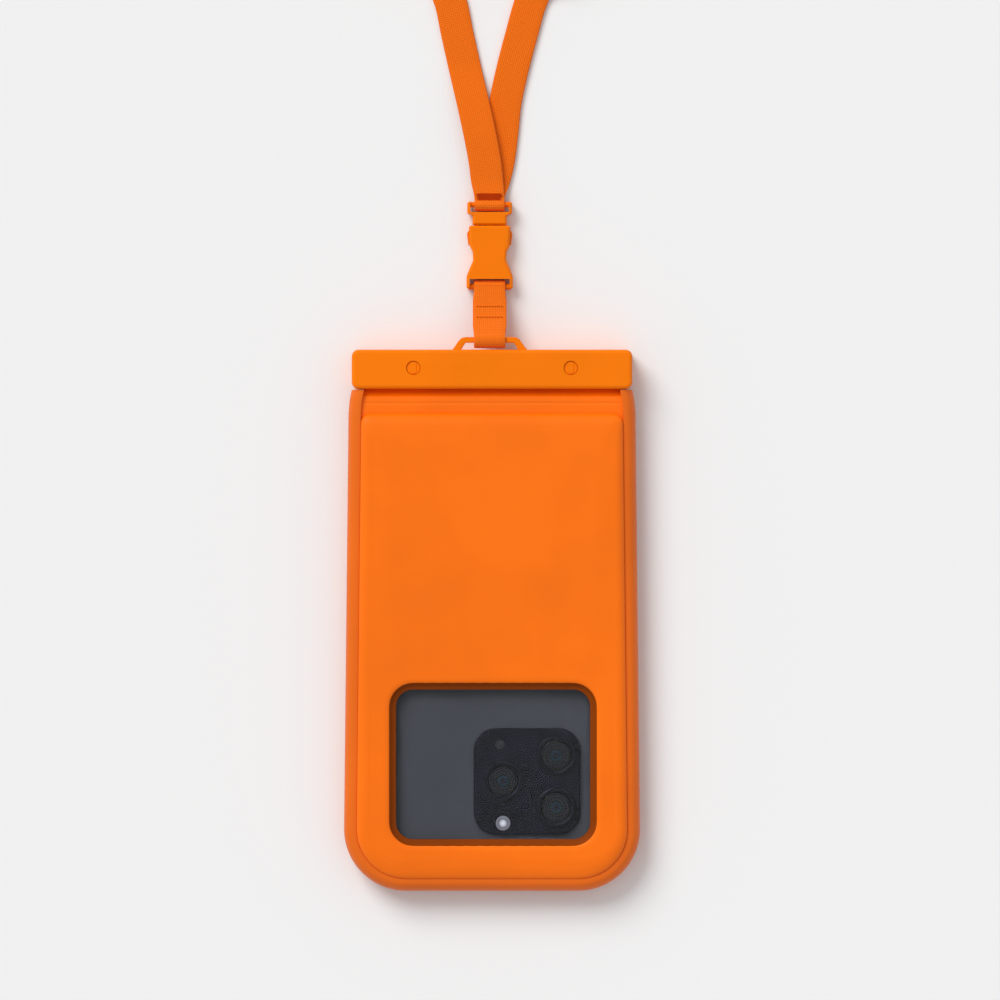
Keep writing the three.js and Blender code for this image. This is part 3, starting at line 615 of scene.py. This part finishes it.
def neck_strap(look, tack):
    """The one continuous strap: round the plug's bar, out on both sides and folded past the view."""
    hank_low, hank_high = box("neck_strap_hank")
    hank_y, hank_z = hank_low[1], (hank_low[2] + hank_high[2]) / 2
    left, left_across = lead(LEFT_ROUTE, 1, hank_y, hank_z)
    right, right_across = lead(RIGHT_ROUTE, -1, hank_y, hank_z)
    bar_y, bar_z = plug_bar()
    turn = np.linspace(math.radians(185), math.radians(100), 8)
    over = np.stack([np.full(8, LEFT_ROUTE[0][0]), bar_y + STRAP_LIFT * np.cos(turn),
                     bar_z + STRAP_LIFT * np.sin(turn)], axis=1)
    under = over[::-1] * [1, 1, -1] + [RIGHT_ROUTE[0][0] - LEFT_ROUTE[0][0], 0, 2 * bar_z]
    half = half_hank(hank_y, hank_z)
    hank = np.concatenate([half, half[-2::-1] * [-1, 1, 1]])
    flat_side = np.tile([1.0, 0, 0], (8, 1))
    centres = np.concatenate([over, left, hank, right[::-1], under])
    across = np.concatenate([
        flat_side, left_across, np.tile([0.0, 0, 1], (len(hank), 1)), right_across[::-1], flat_side,
    ])
    spread = np.linalg.norm(np.diff(centres, axis=0), axis=1)
    keep = np.concatenate([[True], spread > 0.05])
    centres, across = centres[keep], across[keep]
    from_bar = centres[:, 1] - bar_y
    flare = smoothstep((from_bar - 3) / 8) * (1 - smoothstep((from_bar - 78) / 14))
    piece = ribbon(centres, across, STRAP_WIDTH + STRAP_FLARE * flare, WEBBING, "neck_strap")
    dressed(piece, "pouch", look, "webbing", "neck_strap_left", "neck_strap_right", "neck_strap_hank")


# The photographed buckle is wider than the solids' one, apart from its waist
BUCKLE_SPREAD = 0.22
BUCKLE_WAIST_ROW = 256
BUCKLE_WAIST_REACH = 3.4


def wide_buckle(node, look):
    """A half of the buckle, spread to its photographed width everywhere but at the waist."""
    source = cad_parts[node]
    points = np.array([source.matrix_world @ vertex.co for vertex in source.data.vertices]) / MM
    faces = [list(face.vertices) for face in source.data.polygons]
    low, high = box(node)
    middle = (low[0] + high[0]) / 2
    waist_y = in_photo(0, BUCKLE_WAIST_ROW)[1]
    waist = np.exp(-(((points[:, 1] - waist_y) / BUCKLE_WAIST_REACH) ** 2))
    points[:, 0] = middle + (points[:, 0] - middle) * (1 + BUCKLE_SPREAD * (1 - waist))
    piece = mesh_object(f"wide_{node}", points, faces)
    round_edges(piece)
    return dressed(piece, "pouch", look, "clamp_bar", node)


def lug_webbing(look, thread):
    """The webbing loop from the lug to the buckle, and the stitches across its middle."""
    low, high = box("lug_loop")
    bar_low, bar_high = box("back_bar")
    lug_y = bar_high[1] - LUG_BAR / 2
    lug_z = bar_low[2] + BACK_BAR_THICKNESS / 2 - GAP
    socket_low, socket_high = box("buckle_socket")
    end_y, end_z = socket_low[1] + BUCKLE_BAR, (socket_low[2] + socket_high[2]) / 2
    start, end = np.array([lug_y, lug_z]), np.array([end_y, end_z])
    span = float(np.hypot(*(end - start)))
    eye_a = math.hypot(LUG_BAR, LUG_THICKNESS) / 2 + WEBBING / 2
    eye_b = BUCKLE_BAR + GAP + WEBBING / 2
    pinch = (WEBBING + GAP) / 2
    first = arc(0, 0, eye_a, math.radians(60), math.radians(300), 12)
    second = arc(span, 0, eye_b, math.radians(-120), math.radians(120), 12)
    line = np.concatenate([
        first, [[span * 0.38, -pinch], [span * 0.62, -pinch]],
        second, [[span * 0.62, pinch], [span * 0.38, pinch]], first[:1],
    ])
    line = bezier_through(line, 150)
    slope = math.atan2(*(end - start)[::-1])
    turn = np.array([[math.cos(slope), -math.sin(slope)], [math.sin(slope), math.cos(slope)]])
    placed = line @ turn.T + start
    x = (low[0] + high[0]) / 2
    centres = np.column_stack([np.full(len(placed), x), placed])
    across = np.tile([1.0, 0, 0], (len(centres), 1))
    share = (centres[:, 1] - lug_y) / (end_y - lug_y)
    flare = smoothstep((share - 0.05) / 0.25) * (1 - smoothstep((share - 0.7) / 0.25))
    piece = ribbon(centres, across, high[0] - low[0] + STRAP_FLARE * flare, WEBBING, "lug_webbing")
    dressed(piece, "pouch", look, "webbing", "lug_loop")
    stitches(x, start, end, pinch, thread)


def stitches(x, start, end, pinch, thread):
    """Rows of thread across the loop where its two layers are sewn together."""
    along = (end - start) / np.hypot(*(end - start))
    up = np.array([-along[1], along[0]])
    span = np.hypot(*(end - start))
    parts = []
    for share in (0.4, 0.6):
        for side in (1, -1):
            row = start + along * span * share + up * side * (pinch + WEBBING / 2 + 0.02)
            for across in np.arange(-4.6, 4.7, 1.15):
                parts.append(thread_bead(x + across, row, 0.85))
    piece = finished(mesh_object("lug_stitches", *joined(parts)))
    dressed(piece, "pouch", thread, "webbing")


TACK_ROWS = np.arange(1.7, 4.2, 0.34)


def strap_tack(thread):
    """Close rows of dark thread lying across the strap above the buckle: real stitching, whose dark band
    is partly painted shade.
    """
    bar_y, bar_z = plug_bar()
    route = np.array(LEFT_ROUTE)
    parts = []
    for k, y in enumerate(TACK_ROWS):
        x, z = (np.interp(y, route[:, 1], route[:, column]) for column in (0, 2))
        top = bar_z + STRAP_LIFT + z + WEBBING / 2
        parts.append(thread_bead(x + 0.12 * math.sin(5 * k), np.array([bar_y + y, top]), 10.6, 0.2))
    piece = finished(mesh_object("strap_tack", *joined(parts)))
    dressed(piece, "pouch", thread, "webbing")
    return piece


def thread_bead(x, place, length, radius=0.17):
    """One stitch, lying across the webbing."""
    rings = []
    for k in range(9):
        t = k / 8
        size = radius * max(math.sqrt(1 - abs(2 * t - 1) ** 6), 0.08)
        centre = np.array([x - length / 2 + length * t, *place])
        rings.append([centre + size * np.array([0, math.cos(a), math.sin(a)])
                      for a in np.linspace(0, 2 * math.pi, 8, endpoint=False)])
    return loft(rings)


# Locks


def lock_cap(side, look):
    """The round plate round a lock pin's head, which turns with it."""
    low, high = box(f"{side}_lock_pin")
    x, y = (low[:2] + high[:2]) / 2
    radius, top = (high[1] - low[1]) / 2 + 0.18, high[2] - 0.22
    profile = [
        (0.05, -1.15), (radius - 0.1, -1.15), (radius, -1.05),
        (radius, -0.12), (radius - 0.12, 0), (0.05, 0),
    ]
    piece = finished(mesh_object(f"{side}_lock_cap", *turned(profile, x, y, top, 56)))
    return dressed(piece, f"{side}_lock", look, "clamp_bar")


# Phone lenses


def lens(place, ring_look, glass_look):
    """A lens: its ring with a fine step and a domed glass."""
    low, high = box(f"phone_lens_ring_{place}")
    x, y = (low[:2] + high[:2]) / 2
    radius, foot, height = (high[0] - low[0]) / 2, low[2], high[2] - low[2]
    ring_profile = [
        (radius - 1.5, 0), (radius, 0), (radius, height - 0.3), (radius - 0.1, height - 0.1),
        (radius - 0.3, height), (radius - 0.95, height), (radius - 1.1, height - 0.12),
        (radius - 1.3, height - 0.2), (radius - 1.5, height - 0.45),
    ]
    ring = finished(mesh_object(f"lens_ring_{place}", *turned(ring_profile, x, y, foot, 96)))
    dressed(ring, "pouch", ring_look, "lens_metal", f"phone_lens_ring_{place}")
    glass = radius - 1.5 - GAP
    piece = finished(mesh_object(f"lens_glass_{place}", *turned(dome(glass, 0.3, 0.25), x, y, foot, 72)))
    dressed(piece, "pouch", glass_look, "phone_glass", f"phone_lens_glass_{place}")


def dome(radius, side, rise):
    """Profile of a disc with a domed top."""
    over = [(radius * math.cos(a), side + rise * math.sin(a)) for a in np.linspace(0.1, 1.45, 9)]
    return [(0.05, 0), (radius, 0), (radius, side), *over, (0.05, side + rise)]


def flash(look, bezel_look):
    """The phone's lamp: a bright domed lens in a dark bezel."""
    low, high = box("phone_flash")
    x, y = (low[:2] + high[:2]) / 2
    radius, foot = (high[0] - low[0]) / 2, low[2]
    inner = radius - 0.75
    bezel = [
        (inner, 0), (radius, 0), (radius, 0.3),
        (radius - 0.15, 0.45), (inner + 0.1, 0.45), (inner, 0.3),
    ]
    ring = finished(mesh_object("flash_bezel", *turned(bezel, x, y, foot, 64)))
    dressed(ring, "pouch", bezel_look, "lens_metal", "phone_flash")
    piece = finished(mesh_object("flash_lens", *turned(dome(inner - 0.02, 0.2, 0.22), x, y, foot, 56)))
    dressed(piece, "pouch", look, "flash")


# Materials


def srgb(red, green, blue):
    """Linear colour of an 8-bit sRGB one."""
    linear = [c / 12.92 if c <= 0.04045 else ((c + 0.055) / 1.055) ** 2.4
              for c in (red / 255, green / 255, blue / 255)]
    return (*linear, 1)


def scaled(colour, by):
    return tuple(min(c * by, 1) for c in colour[:3]) + (1,)


class Look:
    """A material and the nodes that it is made of."""

    def __init__(self, name):
        self.material = bpy.data.materials.new(name)
        self.material.use_nodes = True
        self.nodes = self.material.node_tree.nodes
        self.links = self.material.node_tree.links
        self.shader = self.nodes["Principled BSDF"]
        self.place = self.add("ShaderNodeTexCoord")

    def add(self, kind, links=None, **values):
        """A node with its properties and inputs set, and outputs of others linked to its inputs."""
        node = self.nodes.new(kind)
        for key, value in values.items():
            if hasattr(node, key):
                setattr(node, key, value)
            else:
                node.inputs[key.replace("_", " ")].default_value = value
        for key, output in (links or {}).items():
            self.links.new(output, node.inputs[key])
        return node

    def set(self, **values):
        for key, value in values.items():
            self.shader.inputs[key.replace("_", " ")].default_value = value

    def drive(self, key, output):
        self.links.new(output, self.shader.inputs[key])

    def noise(self, size_mm, detail=2.0):
        """Soft noise with features of a size."""
        node = self.add("ShaderNodeTexNoise", {"Vector": self.place.outputs["Object"]},
                        Scale=1 / (size_mm * MM), Detail=detail)
        return node.outputs["Fac"]

    def ramp(self, fac, stops, smooth=True):
        """A colour for each value, from (position, colour) stops."""
        node = self.add("ShaderNodeValToRGB", {"Fac": fac})
        node.color_ramp.interpolation = "LINEAR" if smooth else "CONSTANT"
        elements = node.color_ramp.elements
        while len(elements) < len(stops):
            elements.new(0.5)
        for element, (position, colour) in zip(elements, stops):
            element.position = position
            element.color = colour
        return node.outputs["Color"]

    def rough(self, low, high, size_mm=14):
        """A roughness that varies in smears."""
        smears = {"Value": self.noise(size_mm, 4.0)}
        spread = self.add("ShaderNodeMapRange", smears, To_Min=low, To_Max=high)
        self.drive("Roughness", spread.outputs["Result"])

    def bump(self, height, depth_mm, strength=1.0):
        node = self.add("ShaderNodeBump", {"Height": height}, Strength=strength, Distance=depth_mm * MM)
        self.drive("Normal", node.outputs["Normal"])

    def maths(self, operation, *values):
        """One sum of outputs or numbers."""
        node = self.nodes.new("ShaderNodeMath")
        node.operation = operation
        for socket, value in zip(node.inputs, values):
            if isinstance(value, (int, float)):
                socket.default_value = value
            else:
                self.links.new(value, socket)
        return node.outputs["Value"]


def moulded(name, colour, roughness, grain_mm, depth_mm, spread=0.04, drift_mm=36, **values):
    """A moulded surface: a soft drift of colour, a fine grain and smears in its gloss."""
    look = Look(name)
    cloud = look.noise(drift_mm, 3.0)
    look.drive("Base Color", look.ramp(cloud, [(0.35, scaled(colour, 1 - spread)),
                                               (0.65, scaled(colour, 1 + spread))]))
    look.bump(look.noise(grain_mm), depth_mm)
    look.rough(roughness - 0.05, roughness + 0.07)
    look.set(**values)
    return look.material


def woven(name, colour, pitch_mm=0.75):
    """Webbing: over-and-under threads in the cloth's own coordinates."""
    look = Look(name)
    cloth = look.add("ShaderNodeUVMap", uv_map="cloth").outputs["UV"]
    split = look.add("ShaderNodeSeparateXYZ", {"Vector": cloth})
    u = look.maths("DIVIDE", split.outputs["X"], pitch_mm)
    v = look.maths("DIVIDE", split.outputs["Y"], pitch_mm)
    warp = look.maths("ABSOLUTE", look.maths("SINE", look.maths("MULTIPLY", u, math.pi)))
    weft = look.maths("ABSOLUTE", look.maths("SINE", look.maths("MULTIPLY", v, math.pi)))
    squares = look.maths("ADD", look.maths("FLOOR", u), look.maths("FLOOR", v))
    odd = look.maths("MODULO", look.maths("ABSOLUTE", squares), 2)
    height = look.maths("ADD", look.maths("MULTIPLY", weft, odd),
                        look.maths("MULTIPLY", warp, look.maths("SUBTRACT", 1, odd)))
    fuzz = look.maths("MULTIPLY", look.noise(0.2), 0.35)
    # The hollows between the threads are painted darker, as painted shade.
    stops = [(0, scaled(colour, 0.66)), (0.7, scaled(colour, 1.04))]
    shade = look.maths("ADD", height, look.maths("MULTIPLY", fuzz, 0.4))
    look.drive("Base Color", look.ramp(shade, stops))
    look.bump(look.maths("ADD", height, fuzz), 0.16, 0.8)
    look.set(Roughness=0.8, Specular_IOR_Level=0.2, Sheen_Weight=0.08, Sheen_Roughness=0.5)
    return look.material


def threads(name, colour):
    """Sewing thread: fine twisted fibres."""
    look = Look(name)
    twist = look.add("ShaderNodeTexWave", {"Vector": look.place.outputs["Object"]}, Scale=900.0,
                     Distortion=2.0, bands_direction="DIAGONAL")
    # The grooves of the twist are painted darker, as painted shade.
    stops = [(0.2, scaled(colour, 0.7)), (0.8, colour)]
    look.drive("Base Color", look.ramp(twist.outputs["Fac"], stops))
    look.bump(twist.outputs["Fac"], 0.04)
    look.set(Roughness=0.7, Specular_IOR_Level=0.1)
    return look.material


def clear_film(name):
    """Clear film with faint ripples: lamps reach what is behind it, and its face mirrors them."""
    look = Look(name)
    look.set(Base_Color=(0.96, 0.97, 0.98, 1), Roughness=0.05, IOR=1.2, Transmission_Weight=1.0)
    look.bump(look.noise(22, 1.0), 0.12, 0.3)
    clear = look.add("ShaderNodeBsdfTransparent", Color=(0.9, 0.92, 0.94, 1))
    path = look.add("ShaderNodeLightPath")
    mix = look.add("ShaderNodeMixShader", {"Fac": path.outputs["Is Shadow Ray"]})
    look.links.new(look.shader.outputs["BSDF"], mix.inputs[1])
    look.links.new(clear.outputs["BSDF"], mix.inputs[2])
    look.links.new(mix.outputs["Shader"], look.nodes["Material Output"].inputs["Surface"])
    return look.material


def dark_glass(name, colour, roughness=0.06, **values):
    """Coated dark glass with faint smears."""
    look = Look(name)
    cloud = look.noise(9)
    stops = [(0.35, scaled(colour, 0.7)), (0.65, scaled(colour, 1.3))]
    look.drive("Base Color", look.ramp(cloud, stops))
    look.rough(roughness, roughness + 0.08, 5)
    look.set(**({"Coat_Weight": 0.3, "Coat_Roughness": 0.03} | values))
    return look.material


def rings_of(look):
    """Distance from a round piece's middle, 0 to 1, seen from above."""
    off = look.add("ShaderNodeVectorMath", {0: look.place.outputs["Generated"]}, operation="SUBTRACT")
    off.inputs[1].default_value = (0.5, 0.5, 0)
    flat = look.add("ShaderNodeVectorMath", {0: off.outputs["Vector"]}, operation="MULTIPLY")
    flat.inputs[1].default_value = (2, 2, 0)
    length = look.add("ShaderNodeVectorMath", {0: flat.outputs["Vector"]}, operation="LENGTH")
    return length.outputs["Value"]


def lens_glass(name):
    """A lens seen from the front: iris, elements with two thin lighter rings, the black barrel between
    them, and a teal band that is a painted reflection of the coating.
    """
    look = Look(name)
    # The teal band is a painted reflection of the lens coating.
    black, blue, teal_sheen, edge = srgb(5, 6, 9), srgb(14, 24, 42), srgb(14, 40, 46), srgb(34, 38, 46)
    stops = [(0, black), (0.15, blue), (0.27, teal_sheen), (0.36, black), (0.52, edge), (0.56, black),
             (0.76, edge), (0.8, black)]
    look.drive("Base Color", look.ramp(rings_of(look), stops, smooth=False))
    look.rough(0.04, 0.1, 4)
    look.set(Specular_IOR_Level=0.3, Coat_Weight=0.1, Coat_Roughness=0.02)
    return look.material


def lamp_glass(name):
    """The phone's lamp: a bright middle behind a ribbed lens."""
    look = Look(name)
    away = rings_of(look)
    stops = [(0, srgb(222, 222, 228)), (0.45, srgb(190, 191, 199)), (0.8, srgb(108, 110, 120))]
    look.drive("Base Color", look.ramp(away, stops))
    ribs = look.maths("SINE", look.maths("MULTIPLY", away, 60))
    look.bump(ribs, 0.03)
    look.set(Roughness=0.18)
    return look.material


def floor_look():
    look = Look("floor")
    look.set(Base_Color=(FLOOR_GREY, FLOOR_GREY, FLOOR_GREY, 1), Roughness=1.0, Specular_IOR_Level=0.0)
    return look.material


# Stage

FLOOR_GREY = 0.88
SKY_TOP = 0.6
SKY_EDGE = 0.5
SUN_STRENGTH = 2.1
MIRRORED_SHARE = 0.25
SUN_ELEVATION = 40
SUN_BEARING = 126
SUN_ANGLE = 34


def stage(look):
    """A pale floor under the pouch."""
    half = 4000
    corners = np.array([(-half, -half, 0), (half, -half, 0), (half, half, 0), (-half, half, 0)])
    floor = mesh_object("floor", corners + [0, 0, -0.05], [[0, 1, 2, 3]])
    floor.data.materials.append(look)


def soft_light(name, strength, mirrored):
    """A wide soft light from the upper left, mirrored in gloss or not."""
    data = bpy.data.lights.new(name, "SUN")
    data.energy = strength
    data.angle = math.radians(SUN_ANGLE)
    light = bpy.data.objects.new(name, data)
    bearing, rise = math.radians(SUN_BEARING), math.radians(SUN_ELEVATION)
    level = math.cos(rise)
    away = Vector((math.cos(bearing) * level, math.sin(bearing) * level, math.sin(rise)))
    light.rotation_euler = away.to_track_quat("Z", "Y").to_euler()
    light.location = away * 2
    light.visible_glossy = mirrored
    bpy.context.scene.collection.objects.link(light)


def sky():
    """Light from all round, paler towards the horizon, so that flat faces keep their colour."""
    world = bpy.data.worlds.new("studio")
    world.use_nodes = True
    nodes, links = world.node_tree.nodes, world.node_tree.links
    place = nodes.new("ShaderNodeTexCoord")
    split = nodes.new("ShaderNodeSeparateXYZ")
    spread = nodes.new("ShaderNodeMapRange")
    spread.inputs["From Min"].default_value = 0
    spread.inputs["From Max"].default_value = 1
    spread.inputs["To Min"].default_value = SKY_EDGE
    spread.inputs["To Max"].default_value = SKY_TOP
    links.new(place.outputs["Generated"], split.inputs["Vector"])
    links.new(split.outputs["Z"], spread.inputs["Value"])
    links.new(spread.outputs["Result"], nodes["Background"].inputs["Strength"])
    nodes["Background"].inputs["Color"].default_value = (1, 1, 1, 1)
    bpy.context.scene.world = world


def dress_cad_node(name, look):
    """A finish and finely rounded edges for a CAD node that stays."""
    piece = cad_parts[name]
    piece.data.materials.clear()
    piece.data.materials.append(look)
    piece.data.polygons.foreach_set("use_smooth", [True] * len(piece.data.polygons))
    round_edges(piece)


def round_edges(piece, edge_mm=0.12):
    weld = piece.modifiers.new("weld", "WELD")
    weld.merge_threshold = 1e-6
    edge = piece.modifiers.new("edge", "BEVEL")
    edge.width = edge_mm * MM
    edge.segments = 2
    edge.limit_method = "ANGLE"
    edge.angle_limit = math.radians(30)
    flat = piece.modifiers.new("flat", "WEIGHTED_NORMAL")
    flat.weight = 100
    flat.mode = "FACE_AREA_WITH_ANGLE"


def finishes():
    orange, tone = srgb(249, 113, 0), srgb(246, 121, 0)
    warm = {"Specular_IOR_Level": 0.34, "Specular_Tint": (1, 0.82, 0.7, 1)}
    plastic = warm | {"Specular_Tint": (1, 0.6, 0.34, 1)}
    return {
        "cover": moulded("cover", orange, 0.42, 0.35, 0.012, **warm),
        # Rim: the cover's orange darkened, as painted shade on its sloping sides.
        "rim": moulded("rim", scaled(orange, 0.82), 0.45, 0.35, 0.012, Specular_IOR_Level=0.34),
        # Window band: the cover's orange darkened to a quarter, as painted shade in the window's recess.
        "weld": moulded("painted_shade_band", scaled(orange, 0.24), 0.45, 0.3, 0.01, Specular_IOR_Level=0.1),
        "bar": moulded("clamp_bar", tone, 0.34, 0.5, 0.005, 0.03, **plastic),
        "webbing": woven("webbing", srgb(248, 114, 10)),
        # The thread is darker than the webbing; in the tack above the buckle that darkness is partly
        # painted shade.
        "thread": threads("thread", srgb(196, 60, 0)),
        "film": clear_film("window_film"),
        "silicone": moulded("seal", srgb(222, 221, 214), 0.55, 0.6, 0.02),
        "foam": moulded("foam", srgb(60, 60, 64), 0.9, 0.9, 0.15, 0.15, 4, Specular_IOR_Level=0.2),
        "shell": moulded("phone_shell", srgb(58, 60, 66), 0.4, 0.12, 0.003, Specular_IOR_Level=0.2),
        "glass": dark_glass("phone_glass", srgb(10, 13, 22)),
        "island": dark_glass("island", srgb(14, 16, 26), 0.2, Specular_IOR_Level=0.15, Coat_Weight=0.08),
        "metal": moulded("lens_metal", srgb(36, 37, 45), 0.28, 0.2, 0.002, 0.1, Metallic=0.9),
        "bezel": moulded("lamp_bezel", srgb(128, 126, 138), 0.34, 0.2, 0.002, 0.06, Metallic=0.6),
        "lens": lens_glass("lens_glass"),
        "lamp": lamp_glass("flash"),
    }


def build():
    bpy.context.scene.view_settings.view_transform = "Standard"
    camera()
    look = finishes()
    wide_buckle("buckle_socket", look["bar"])
    plug = wide_buckle("buckle_plug", look["bar"])
    neck_strap(look["webbing"], strap_tack(look["thread"]))
    lug_webbing(look["webbing"], look["thread"])
    rim(look["rim"])
    back_cover(look["cover"])
    front_cover(look["cover"])
    window_bezel(look["weld"])
    for side in ("left", "right"):
        lock_cap(side, look["bar"])
    window_film("camera_film", "back_window", CAMERA_WINDOW, BACK_LAP, look["film"], wave=0.2)
    window_film("touch_film", "front_window", TOUCH_WINDOW, FRONT_LAP, look["film"], wave=0.15)
    for place in ("upper", "lower", "middle"):
        lens(place, look["metal"], look["lens"])
    flash(look["lamp"], look["bezel"])
    kept = {
        "bar": ["back_bar", "front_bar", "left_lock_knob", "right_lock_knob", "left_lock_pin",
                "right_lock_pin"],
        "silicone": ["bar_seal", "hank_tie"],
        "foam": ["float_pad"],
        "shell": ["phone_body"],
        "glass": ["phone_screen", "phone_sensor"],
        "island": ["phone_camera_island"],
    }
    for finish, names in kept.items():
        for name in names:
            dress_cad_node(name, look[finish])
    stage(floor_look())
    sky()
    soft_light("key", SUN_STRENGTH * MIRRORED_SHARE, True)
    soft_light("wash", SUN_STRENGTH * (1 - MIRRORED_SHARE), False)


build()
